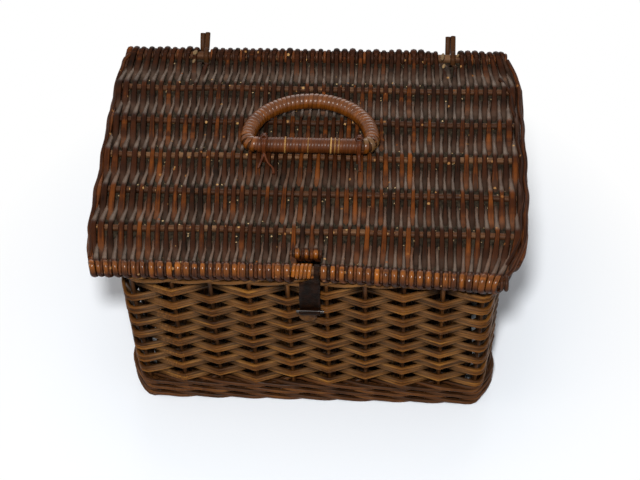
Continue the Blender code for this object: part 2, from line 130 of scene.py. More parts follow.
card = bpy.data.materials.new("pale_card")
tree = cleared(card)
card_half = 4.0
shadow_reach = 0.21
white_from = 0.36
matt = add(tree, "ShaderNodeBsdfDiffuse", {"Color": paint("#e8eff8")})
white = add(tree, "ShaderNodeEmission", {"Color": paint("#ffffff"), "Strength": 1.0})
where = add(tree, "ShaderNodeTexCoord").outputs["Object"]
away = add(tree, "ShaderNodeVectorMath", {0: where, 1: (0.0, -0.03, 0.0)}, operation="DISTANCE")
faded = add(tree, "ShaderNodeMapRange", {"Value": away.outputs["Value"], "From Min": shadow_reach,
                                         "From Max": white_from})
share = add(tree, "ShaderNodeMath", {0: seen_itself(tree), 1: faded}, operation="MULTIPLY")
seen = add(tree, "ShaderNodeMixShader", {0: share, 1: matt, 2: white})
add(tree, "ShaderNodeOutputMaterial", {"Surface": seen})
floor = stand_mesh("card", [(-card_half, -card_half, 0), (card_half, -card_half, 0),
                            (card_half, card_half, 0), (-card_half, card_half, 0)],
                   [(0, 1, 2, 3)], card)

room = bpy.data.worlds.new("white_room")
bpy.context.scene.world = room
tree = cleared(room)
soft = add(tree, "ShaderNodeBackground", {"Color": paint("#f3f1ee"), "Strength": 0.36})
bright = add(tree, "ShaderNodeBackground", {"Color": paint("#ffffff"), "Strength": 1.0})
both = add(tree, "ShaderNodeMixShader", {0: seen_itself(tree), 1: soft, 2: bright})
add(tree, "ShaderNodeOutputWorld", {"Surface": both})

for name, spot, size, power, tint in (
        ("flash_lamp", (0.02, -0.95, 1.45), 0.16, 25.0, "#fffcf8"),
        ("sweep_lamp", (0.0, 2.2, 0.9), 1.8, 22.0, "#fbf8f6"),
        ("fill_lamp", (-1.3, -0.2, 1.0), 1.0, 3.0, "#ffeedd")):
    lamp_data = bpy.data.lights.new(name, "AREA")
    lamp_data.shape = "DISK"
    lamp_data.size = size
    lamp_data.energy = power
    lamp_data.color = paint(tint)[:3]
    lamp = stand(name, lamp_data)
    lamp.location = spot
    aim = Vector((0.0, 0.0, 0.1)) - Vector(spot)
    lamp.rotation_euler = aim.to_track_quat("-Z", "Y").to_euler()


# Stakes: thirty upright rods of buff willow, pushed into the base on a rounded rectangle and
# leaning outwards a little. Their tops run on into the border, so they are laid with it.
front_pitch = 0.0336
front_stakes = 10
side_stakes = 5
wall_middle = 0.0015
wall_half_width = 0.1612
wall_depth = 0.1290
corner_radius = 0.017
half_front = wall_half_width - corner_radius
half_side = wall_depth - corner_radius
corner_arc = math.pi / 2 * corner_radius
perimeter = 4 * (half_front + half_side + corner_arc)
lean_share = 0.02
stake_foot = 0.0012
stake_top = 0.172
stake_bend = 0.0003


def outline(length):
    """Place and outward direction this far along the wall, from the front's middle to +X."""
    rest = length % perimeter
    outward = np.array([0.0, -1.0])
    spot = np.array([0.0, -wall_depth])
    for run in (half_front, 2 * half_side, 2 * half_front, 2 * half_side, half_front):
        heading = np.array([-outward[1], outward[0]])
        if rest <= run:
            return spot + heading * rest, outward
        spot = spot + heading * run
        rest -= run
        centre = spot - outward * corner_radius
        angle = min(rest, corner_arc) / corner_radius
        outward = np.array([math.cos(angle) * outward[0] - math.sin(angle) * outward[1],
                            math.sin(angle) * outward[0] + math.cos(angle) * outward[1]])
        spot = centre + outward * corner_radius
        if rest <= corner_arc:
            return spot, outward
        rest -= corner_arc
    return spot, outward


corner_place = (front_stakes - 1) / 2 * front_pitch
side_pitch = (perimeter / 2 - 2 * corner_place) / (side_stakes + 1)
stations = [-corner_place + index * front_pitch for index in range(front_stakes)]
stations += [corner_place + index * side_pitch for index in range(1, side_stakes + 1)]
stations = stations[1:] + [station + perimeter / 2 for station in stations] + stations[:1]
stakes = len(stations)


def on_wall(turn, offset, height):
    """A point on the wall: how many stakes along, how far out from their axes, how high."""
    index = math.floor(turn)
    here = stations[index % stakes]
    gap = (stations[(index + 1) % stakes] - here) % perimeter
    spot, outward = outline(here + (turn - index) * gap)
    spot = spot + outward * (offset + lean_share * height)
    return (spot[0] + wall_middle, spot[1], height)


# One tree of nodes works every rod, stick and strip of cane: a smooth line gets a round or
# flattened section, and keeps how far along it and how far round it each part lies.
rods_tree = bpy.data.node_groups.new("lay_rods", "GeometryNodeTree")
face = rods_tree.interface
face.new_socket("Lines", in_out="INPUT", socket_type="NodeSocketGeometry")
rod_inputs = {}
for label, kind in (("Width", "Float"), ("Thickness", "Float"), ("Sides", "Int"),
                    ("Steps", "Int"), ("Finish", "Material")):
    socket = face.new_socket(label, in_out="INPUT", socket_type="NodeSocket" + kind)
    rod_inputs[label] = socket.identifier
face.new_socket("Rods", in_out="OUTPUT", socket_type="NodeSocketGeometry")
given = add(rods_tree, "NodeGroupInput").outputs
measure = add(rods_tree, "GeometryNodeSplineParameter").outputs
line = add(rods_tree, "GeometryNodeMeshToCurve", {"Mesh": given["Lines"]})
line = add(rods_tree, "GeometryNodeCurveSplineType", {"Curve": line}, spline_type="CATMULL_ROM")
line = add(rods_tree, "GeometryNodeSetSplineResolution",
           {"Geometry": line, "Resolution": given["Steps"]})
side = add(rods_tree, "GeometryNodeInputNamedAttribute", {"Name": "side"},
           data_type="FLOAT_VECTOR")
line = add(rods_tree, "GeometryNodeSetCurveNormal", {"Curve": line, "Normal": side}, mode="FREE")
line = add(rods_tree, "GeometryNodeStoreNamedAttribute",
           {"Geometry": line, "Name": "along", "Value": measure["Length"]})
ring = add(rods_tree, "GeometryNodeCurvePrimitiveCircle",
           {"Resolution": given["Sides"], "Radius": 0.5})
size = add(rods_tree, "ShaderNodeCombineXYZ",
           {"X": given["Width"], "Y": given["Thickness"], "Z": 1.0})
ring = add(rods_tree, "GeometryNodeTransform", {"Geometry": ring, "Scale": size})
ring = add(rods_tree, "GeometryNodeStoreNamedAttribute",
           {"Geometry": ring, "Name": "round", "Value": measure["Factor"]})
girth = add(rods_tree, "GeometryNodeInputNamedAttribute", {"Name": "girth"}, data_type="FLOAT")
solid = add(rods_tree, "GeometryNodeCurveToMesh",
            {"Curve": line, "Profile Curve": ring, "Scale": girth, "Fill Caps": True})
solid = add(rods_tree, "GeometryNodeSetShadeSmooth", {"Geometry": solid, "Shade Smooth": True})
solid = add(rods_tree, "GeometryNodeRealizeInstances", {"Geometry": solid})
solid = add(rods_tree, "GeometryNodeSetMaterial", {"Geometry": solid, "Material": given["Finish"]})
add(rods_tree, "NodeGroupOutput", {0: solid})


def lay_rods(name, paths, width, thickness, finish, sides=8, steps=3):
    """One mesh of rods. A path has its points and the side that its width follows. It may have a
    girth, a lift out of the weave, which also sets its painted shade and slope colour, a mark for
    its tone, a share of dust and painted reflection, and be closed."""
    edges = []
    values = {label: [] for label in ("points", "side", "girth", "lift", "mark", "dust_and_sheen")}
    for path in paths:
        first = len(values["points"])
        count = len(path["points"])
        edges += [(first + i, first + i + 1) for i in range(count - 1)]
        if path.get("closed"):
            edges.append((first + count - 1, first))
        plain = {"girth": 1.0, "lift": 0.0, "mark": chance.random(), "dust_and_sheen": 1.0}
        for label, listed in values.items():
            shape = (count, 3) if label in ("points", "side") else (count,)
            value = np.array(path.get(label, plain.get(label)), float)
            listed += np.broadcast_to(value, shape).tolist()
    mesh = bpy.data.meshes.new(name)
    mesh.from_pydata(values.pop("points"), edges, [])
    for label, listed in values.items():
        kind, entry = ("FLOAT_VECTOR", "vector") if label == "side" else ("FLOAT", "value")
        mesh.attributes.new(label, kind, "POINT").data.foreach_set(entry, np.ravel(listed))
    lines = stand(name + "_lines", mesh)
    modifier = lines.modifiers.new("rods", "NODES")
    modifier.node_group = rods_tree
    for identifier, value in zip(rod_inputs.values(), (width, thickness, sides, steps, finish)):
        modifier[identifier] = value
    bpy.context.view_layer.update()
    done = lines.evaluated_get(bpy.context.evaluated_depsgraph_get())
    made = bpy.data.meshes.new_from_object(done)
    bpy.data.objects.remove(lines, do_unlink=True)
    made.name = name
    return stand(name, made)


def crumbs(tree, scale, reach, share):
    """Scattered crumbs: where they lie, and a random number for each one's tone."""
    spot = add(tree, "ShaderNodeTexCoord").outputs["Object"]
    cells = add(tree, "ShaderNodeTexVoronoi",
                {"Vector": spot, "Scale": scale, "Randomness": 1.0}).outputs
    picked = add(tree, "ShaderNodeSeparateColor", {"Color": cells["Color"]}).outputs
    near = add(tree, "ShaderNodeMapRange", {"Value": cells["Distance"], "From Min": reach[0],
                                            "From Max": reach[1]})
    rare = add(tree, "ShaderNodeMath", {0: picked["Red"], 1: 1 - share}, operation="GREATER_THAN")
    return add(tree, "ShaderNodeMath", {0: near, 1: rare}, operation="MULTIPLY"), picked["Green"]


fibre_length = 0.0192
blotch_length = 1 / 45.0


def willow(name, dark, middle, light, dust_and_sheen, shade_tone, roughness, dust_sheen_share, shine, spread=0.45,
           groove_shade_share=0.5, speck_share=0.0, rough_skin=0.35, worn=None, worn_gloss=0.0):
    """Willow or cane: streaks along the rod, a tone for each rod, dust and painted reflection on
    the slopes, and painted shade on the low parts and in the grooves along each rod's sides. Where
    hands have rubbed it, at a lift over 1, it takes the two worn tones."""
    made = bpy.data.materials.new(name)
    tree = cleared(made)
    along, around, mark, lift, dust_sheen_amount = (
        add(tree, "ShaderNodeAttribute", attribute_name=label).outputs["Fac"]
        for label in ("along", "round", "mark", "lift", "dust_and_sheen"))
    turn, shift, fibre_run, blotch_run = (
        add(tree, "ShaderNodeMath", {0: value, 1: factor}, operation="MULTIPLY")
        for value, factor in ((around, 2 * math.pi), (mark, 37.0), (along, 1 / fibre_length),
                              (along, 1 / blotch_length)))
    across = add(tree, "ShaderNodeMath", {0: turn}, operation="SINE")
    aside = add(tree, "ShaderNodeMath", {0: across, 1: 2.2}, operation="MULTIPLY")
    flank = add(tree, "ShaderNodeMath", {0: across}, operation="ABSOLUTE")
    spot = add(tree, "ShaderNodeCombineXYZ", {"X": fibre_run, "Y": aside, "Z": shift})
    fibre = add(tree, "ShaderNodeTexNoise", {"Vector": spot, "Scale": 1.0, "Detail": 4.0,
                                             "Roughness": 0.6})
    spot = add(tree, "ShaderNodeCombineXYZ", {"X": blotch_run, "Z": shift})
    blotch = add(tree, "ShaderNodeTexNoise", {"Vector": spot, "Scale": 1.0, "Detail": 3.0})
    mix = add(tree, "ShaderNodeMath", {0: fibre, 1: 0.9, 2: blotch}, operation="MULTIPLY_ADD")
    mix = add(tree, "ShaderNodeMath", {0: mark, 1: spread, 2: mix}, operation="MULTIPLY_ADD")
    # A lift under 0.15 darkens a rod with painted shade, and the sides of its section, where it
    # meets its neighbours, get painted shade by the groove share.
    low, high, gloss, slope, patches, low_shade, groove_shade = (
        add(tree, "ShaderNodeMapRange", {"Value": value, "From Min": first, "From Max": last,
                                         "To Min": least, "To Max": most})
        for value, first, last, least, most in (
            (mix, 0.8, 1.3, 0.0, 1.0), (mix, 1.3, 1.8, 0.0, 1.0),
            (fibre, 0.3, 0.7, roughness - 0.08, roughness + 0.12),
            (lift, 0.85, 0.35, 0.0, dust_sheen_share), (blotch, 0.35, 0.65, 0.45, 1.0),
            (lift, 0.15, -0.6, 0.0, 0.85), (flank, 0.75, 0.1, 0.0, groove_shade_share)))
    # Dust and a painted reflection lie grey in patches on the slopes, where the lift falls from
    # 0.85 to 0.35.
    dust_sheen_mask = add(tree, "ShaderNodeMath", {0: slope, 1: patches}, operation="MULTIPLY")
    dust_sheen_mask = add(tree, "ShaderNodeMath", {0: dust_sheen_mask, 1: dust_sheen_amount}, operation="MULTIPLY")
    layers = [(low, paint(middle)), (high, paint(light))]
    if worn:
        rubbed = add(tree, "ShaderNodeMapRange", {"Value": lift, "From Min": 1.05,
                                                  "From Max": 1.35, "To Max": 0.85})
        fresh = add(tree, "ShaderNodeMapRange", {"Value": mix, "From Min": 1.0, "From Max": 1.7})
        fresh = add(tree, "ShaderNodeMix", {"Factor": fresh, "A": paint(worn[0]),
                                            "B": paint(worn[1])}, data_type="RGBA")
        layers.append((rubbed, fresh))
        gloss = add(tree, "ShaderNodeMath", {0: rubbed, 1: -0.17, 2: gloss},
                    operation="MULTIPLY_ADD")
    layers += [(dust_sheen_mask, paint(dust_and_sheen)), (low_shade, paint(shade_tone)), (groove_shade, paint(shade_tone))]
    if speck_share:
        speck, lot = crumbs(tree, 170.0, (0.26, 0.18), speck_share)
        tint = add(tree, "ShaderNodeMix", {"Factor": lot, "A": paint("#b08a58"),
                                           "B": paint("#6e3a14")}, data_type="RGBA")
        layers.append((speck, tint))
    skin = paint(dark)
    for share, tint in layers:
        skin = add(tree, "ShaderNodeMix", {"Factor": share, "A": skin, "B": tint},
                   data_type="RGBA")
    ridge = add(tree, "ShaderNodeBump", {"Height": fibre, "Strength": rough_skin,
                                         "Distance": 0.0004})
    shader = add(tree, "ShaderNodeBsdfPrincipled", {"Base Color": skin, "Roughness": gloss,
                                                    "Specular IOR Level": shine,
                                                    "Normal": ridge})
    if worn:
        coat = add(tree, "ShaderNodeMath", {0: rubbed, 1: worn_gloss}, operation="MULTIPLY")
        tree.links.new(coat.outputs[0], shader.inputs["Coat Weight"])
        shader.inputs["Coat Roughness"].default_value = 0.2
    add(tree, "ShaderNodeOutputMaterial", {"Surface": shader})
    return made


# Buff willow, boiled, peeled and aged to a mid brown: fine streaks, dull dust with painted
# reflection on the slopes, and painted shade where the rods pass behind. The stakes, the waling,
# the base and the hinge loops take a darker copy, with more painted shade in the grooves between
# rods.
body_willow = willow("buff_willow_aged", "#2b1605", "#623b14", "#99692a", "#6e563a", "#030100",
                     0.42, 0.35, shine=0.07)
darker_willow = willow("buff_willow_darker", "#241105", "#4d2a10", "#82501f", "#4e3b28", "#030100",
                     0.42, 0.35, shine=0.07, groove_shade_share=0.85)
stake_paths = []
for index in range(stakes):
    bend = chance.normal(0.0, stake_bend, 5)
    heights = np.linspace(stake_foot, stake_top, 5)
    stake_paths.append({"points": [on_wall(index, bend[k], h) for k, h in enumerate(heights)],
                        "side": (0.7071, 0.7071, 0.0), "lift": 0.3})


# Siding: fifteen rounds of three thin willow rods laid side by side, taken in front of
# one stake and behind the next and beaten down on the round below.
siding_rounds = 15
siding_foot = 0.0282
round_step = 0.0091
siding_rod = 0.00305
siding_sway = 0.0058
siding_wander = 0.00025
siding_slack = 0.05
siding_unevenness = 0.04
upward = (0.0, 0.0, 1.0)
siding_paths = [[], [], []]
for course in range(siding_rounds):
    for row in range(3):
        level = siding_foot + course * round_step + (row + 0.5) * round_step / 3
        wander = chance.normal(0.0, siding_wander, stakes)
        slack = 1 + chance.normal(0.0, siding_slack, stakes)
        points, lift = [], []
        for index in range(stakes):
            front = 1 if (index + course) % 2 == 0 else -1
            following = (index + 1) % stakes
            for step, share in ((0.0, 1.0), (0.09, 0.84), (0.5, 0.0), (0.91, -0.84)):
                height = level + (1 - step) * wander[index] + step * wander[following]
                sway = siding_sway * (slack[index] if step < 0.5 else slack[following])
                points.append(on_wall(index + step, front * share * sway, height))
                # The lift runs from 1 in front of a stake to -1 behind the next. The parts behind
                # get painted shade, and the slopes between get dust with painted reflection.
                lift.append(front * share)
        siding_paths[course // 5].append({"points": points, "side": upward, "lift": lift,
                                          "closed": True,
                                          "girth": 1 + chance.normal(0.0, siding_unevenness)})
for part, paths in enumerate(siding_paths):
    siding = lay_rods(f"siding_{part + 1}", paths, siding_rod, siding_rod, body_willow,
                      sides=7, steps=2)
    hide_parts(*[f"siding_course_{5 * part + k:02d}" for k in range(1, 6)])
    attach(siding, "basket")


# Waling: thicker willow rods round the foot, three at a time. Each passes in front of two
# stakes and behind the third, over the other two, so that the three lie like a flat rope.
wale_rounds = 3
wale_rod = 0.0044
wale_rise = 0.0094
wale_wave = 0.0026
wale_sway = 0.0048
wale_wander = 0.0002
wale_paths = []
for turn in range(wale_rounds):
    for rod in range(3):
        points = []
        wander = chance.normal(0.0, wale_wander, 2 * stakes)
        for half in range(2 * stakes):
            phase = (half / 2 - rod - turn) / 3 % 1
            sway = np.interp(phase, (0, 1 / 6, 1 / 3, 1 / 2, 2 / 3, 5 / 6, 1),
                             (-1.0, 0.12, 1.0, 1.12, 1.0, 0.12, -1.0))
            height = ((turn + 0.5) * wale_rise + wale_wave * math.sin(2 * math.pi * phase)
                      + wander[half])
            points.append(on_wall(half / 2, sway * wale_sway,
                                  max(height, wale_rod / 2 + 0.0001)))
        wale_paths.append({"points": points, "side": upward, "lift": 0.5, "closed": True})
waling = lay_rods("waling", wale_paths, wale_rod, wale_rod, darker_willow, sides=8, steps=4)
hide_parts(*[f"wale_rod_{k}" for k in range(1, 7)])
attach(waling, "basket")


# Border: the stake ends, bent over and laid round the rim as three strands that turn
# about each other, which locks the siding down.
border_level = 0.17433
border_turn = 0.00313
border_rod = 0.0043
border_paths = []
for strand in range(3):
    points = []
    for half in range(2 * stakes):
        turn = 2 * math.pi * (half / 2 - strand) / 3 - math.pi / 2
        points.append(on_wall(half / 2, border_turn * math.cos(turn),
                              border_level + border_turn * math.sin(turn)))
    border_paths.append({"points": points, "side": upward, "lift": 0.4, "closed": True})
for name, paths, finish in (("stakes", stake_paths, darker_willow),
                            ("border", border_paths, body_willow)):
    laid = lay_rods(name, paths, border_rod, border_rod, finish, sides=8, steps=3)
    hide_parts(*[f"stakes_and_border_strand_{k}" for k in (1, 2, 3)])
    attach(laid, "basket")


# Base: five sticks along the basket, with willow rods woven across them and turned
# round the outer ones. It shows through the gaps of the wall and from below.
base_level = 0.0064
base_half_depth = 0.1132
base_half_length = 0.1523
base_rod = 0.0030
base_flattening = 1.42
base_stick_radius = 0.00325
base_reach = base_stick_radius + base_rod / 2
base_passes = 19
base_rods = 4
base_end_share = half_front / base_half_length
along_x = (1.0, 0.0, 0.0)
along_y = (0.0, 1.0, 0.0)
base_paths = []
for count in range(base_passes):
    for row in range(base_rods):
        middle = ((count - (base_passes - 1) / 2 + (row - 1.5) / base_rods)
                  * 2 * base_half_length / base_passes)
        points, lift = [], []
        for step in range(17):
            stick, share = divmod(step / 4, 1)
            side = 1 if (int(stick) + count) % 2 == 0 else -1
            narrow = 1 - (1 - base_end_share) * max(0.0, 1 - min(step, 16 - step) / 2)
            rise = side * base_reach * math.cos(math.pi * share)
            points.append((middle * narrow, base_half_depth * (1 - step / 8), base_level + rise))
            # The rods' low parts, and their turns round the outer sticks, get a low lift and so
            # painted shade.
            lift.append(0.45 * rise / base_reach - 0.45)
        for end, side in ((0, 1), (-1, -1)):
            over = np.sign(points[end][2] - base_level)
            turned = [(points[end][0], side * (base_half_depth + base_reach * math.sin(a)),
                       base_level + over * base_reach * math.cos(a)) for a in (0.9, 1.8, 2.7)]
            if end == 0:
                points = turned[::-1] + points
                lift = [-0.9, -0.6, -0.3] + lift
            else:
                points = points + turned
                lift = lift + [-0.3, -0.6, -0.9]
        base_paths.append({"points": points, "side": along_x, "lift": lift,
                           "girth": [1 + 0.22 * abs(2 * value + 1) for value in lift]})
stick_paths = [{"points": [(x, y + chance.normal(0.0, 0.0003), base_level)
                           for x in np.linspace(-half_front - 0.004, half_front + 0.004, 7)],
                "side": along_y, "lift": 0.1}
               for y in np.linspace(base_half_depth, -base_half_depth, 5)]
base_sticks = lay_rods("base_sticks", stick_paths, 2 * base_stick_radius, 2 * base_stick_radius,
                       darker_willow, sides=12, steps=3)
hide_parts(*[f"base_stick_{k}" for k in range(1, 6)])
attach(base_sticks, "basket")

base_weave = lay_rods("base_weave", base_paths, base_rod * base_flattening, base_rod,
                      body_willow, sides=6, steps=2)
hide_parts("base_weaver")
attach(base_weave, "basket")


# Hinge loops: at two places behind, a willow rod is passed under the border and over the
# lid's back stick, with its two cut ends left standing out side by side.
lid_level = 0.1884883
lid_half_depth = 0.1335
end_stick_radius = 0.0045
hinge_places = (-0.111, 0.1255)
loop_radius = 0.0025
loop_spread = 0.0024
loop_clear = 0.0003
rope_radius = 0.00533
tail_reach = 0.0215


def on_arc(centre, radius, *angles):
    """Points round a centre in the plane of Y and Z."""
    return [centre + radius * Vector((math.cos(a), math.sin(a))) for a in angles]


rope = Vector((wall_depth + lean_share * border_level, border_level))
axis = Vector((lid_half_depth, lid_level))
round_stick = end_stick_radius + loop_clear + loop_radius
round_rope = rope_radius + loop_clear + loop_radius
tip = on_arc(axis, tail_reach, math.radians(30))[0]
outside = max(on_arc(rope, round_rope, -math.pi / 8)[0].x, lid_half_depth + round_stick)
down = [tip + Vector((0.0004, 0.0012)), tip * 0.5 + Vector((outside, lid_level + 0.003)) * 0.5,
        Vector((outside, lid_level - 0.001))] + on_arc(rope, round_rope, -0.4, -1.2, -2.0)
rising = (on_arc(rope, round_rope, -2.75) + on_arc(axis, round_stick, 2.75, 2.1, 1.5, 1.0)
          + [tip + Vector((0.0, 0.002))])
for label, x in zip(("left", "right"), hinge_places):
    points = [(x - loop_spread, *spot) for spot in down]
    points += [(x + loop_spread, *spot) for spot in rising]
    loop = lay_rods(f"willow_hinge_{label}",
                    [{"points": points, "side": along_x, "lift": 0.5, "mark": 0.02}],
                    2 * loop_radius, 2 * loop_radius, darker_willow, sides=10, steps=5)
    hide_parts(f"hinge_loop_{label}")
    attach(loop, "basket")


# The lid's seven sticks are thicker willow, hardly seen between the rods that are woven
# over them. The front and back ones are the thickest, and their cut ends stick out.
# Their unstained wood is dull and pale where the weave has rubbed it, with pale specks.
stick_willow = willow("stick_willow_aged", "#281409", "#52331e", "#93704f", "#3c2c22", "#0c0603",
                      0.5, 0.2, shine=0.08, speck_share=0.35)
stick_rows = [lid_half_depth * (1 - index / 3) for index in range(7)]
lid_stick_radius = 0.00325
lid_stick_bend = 0.0004
stick_half = 0.1865
end_stick_half = 0.1835
end_stick_right = {0: 0.1775, 6: 0.1710}
row_gap = lid_half_depth / 3


def sagged(x, y, z):
    """The right end of the front edge has bent forwards and down."""
    share = max(0.0, x - 0.02) / 0.16 * max(0.0, -y - 2 * row_gap) / row_gap
    return x, y - 0.0062 * share, z - 0.0022 * share


stick_paths = []
for index, y in enumerate(stick_rows):
    at_end = index in end_stick_right
    half = end_stick_half if at_end else stick_half
    steps = np.linspace(-half, end_stick_right.get(index, half), 9)
    wander = chance.normal(0.0, lid_stick_bend, 9)
    points = [(x, y + w, lid_level + w / 2) for x, w in zip(steps, wander)]
    stick_paths.append({"points": [sagged(*spot) for spot in points] if index == 6 else points,
                        "side": along_y, "lift": 0.2,
                        "girth": end_stick_radius / lid_stick_radius if at_end else 1.0})
lid_sticks = lay_rods("lid_sticks", stick_paths, 2 * lid_stick_radius, 2 * lid_stick_radius,
                      stick_willow, sides=12, steps=3)
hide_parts(*[f"lid_stick_{k}" for k in range(1, 8)])
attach(lid_sticks, "lid")


# The lid is filled with about a hundred runs of one thickness of willow, woven to and fro over the
# sticks and round the front and back ones. They were stained dark red-brown. Dust with a painted
# reflection lies grey on their slopes, their dipping parts and grooves are darkened with painted
# shade, and the turns on the front edge are rubbed bright and golden.
lid_willow = willow("stained_willow_dust_and_sheen", "#160a04", "#381b0b", "#7c4216", "#66584d", "#0b0705",
                    0.36, 0.9, shine=0.06, spread=0.55, groove_shade_share=0.75, speck_share=0.07,
                    rough_skin=0.7, worn=("#3a1903", "#a9600c"), worn_gloss=0.5)
lid_runs = 100
run_half = 0.1912
run_end_share = 0.955
run_width = 0.0047
run_thickness = 0.0034
end_turn = end_stick_radius + run_thickness / 2 + 0.0003
stick_turn = 0.0054
slot_edges = (-0.0118, 0.0138)
slot_stick_y = -lid_half_depth + 0.0195
slot_stick_radius = 0.0025
slot_turn = slot_stick_radius + run_thickness / 2 + 0.0002
short_turn = 0.0016
side_bulge = 0.0010
run_unevenness = 0.03
crossing_unevenness = 0.12
run_wander = 0.00016
tie_places = (-0.0426, 0.0428)
tie_room = 0.0013
hinge_room = 0.0034
hinge_runs = (19.5, 83.5)
short_fronts = {98: 0.013, 99: 0.013}
short_ends = {19: 0.0125, 20: 0.0125, 83: 0.0105, 84: 0.0118, 81: 0.0078, 82: 0.0078}


def run_place(count):
    """Where a run crosses the middle of the lid, with room for the ties and the hinges."""
    x = -run_half + (count + 0.5) * 2 * run_half / lid_runs
    for place, middle in zip(hinge_places, hinge_runs):
        centre = -run_half + (middle + 0.5) * 2 * run_half / lid_runs
        away = x - centre
        x += (place * 1.01 - centre) * math.exp(-(away / 0.05) ** 2)
    inset = run_half - abs(x)
    return math.copysign(run_half - inset * (0.72 + 0.28 * min(1.0, inset / 0.03)), x)


def run_sway(x, y):
    """Slow bends that neighbouring runs share."""
    return 0.0009 * math.sin(31 * x + 17 * y + 1.0) + 0.0006 * math.sin(-52 * x + 29 * y)


def drawn(x, y):
    """The lid narrows at its corners, and the runs part round the ties and the hinges."""
    near_end = max(0.0, abs(y) - 2 * row_gap) / row_gap
    skew = max(0.0, abs(x) - 0.14) / 0.05 if y > 0 else 0.0
    end_share = run_end_share + (0.013 if x < 0 else -0.022) * skew
    x *= 1 - (1 - end_share) * (abs(x) / run_half) ** 2.5 * near_end ** 1.5
    x -= 0.010 * (max(0.0, -y - 0.095) / 0.04) ** 2 * (max(0.0, x - 0.13) / 0.055) ** 1.5
    for places, row, room in ((tie_places, 0.0, tie_room),
                              (hinge_places, lid_half_depth, hinge_room)):
        for place in places:
            away = x - place
            x += room * math.copysign(math.exp(-abs(away) / 0.008 - ((y - row) / 0.022) ** 2),
                                      away)
    return x


lid_path = {"points": [], "side": along_x, "lift": [], "girth": [], "mark": [], "dust_and_sheen": []}


def lay(x, y, z, lift, girth, mark, dust_sheen_amount=0.3):
    """One more point of the lid's weave."""
    lid_path["points"].append(sagged(drawn(x, y) + run_sway(x, y), y, z))
    for label, value in (("lift", lift), ("girth", girth), ("mark", mark), ("dust_and_sheen", dust_sheen_amount)):
        lid_path[label].append(value)


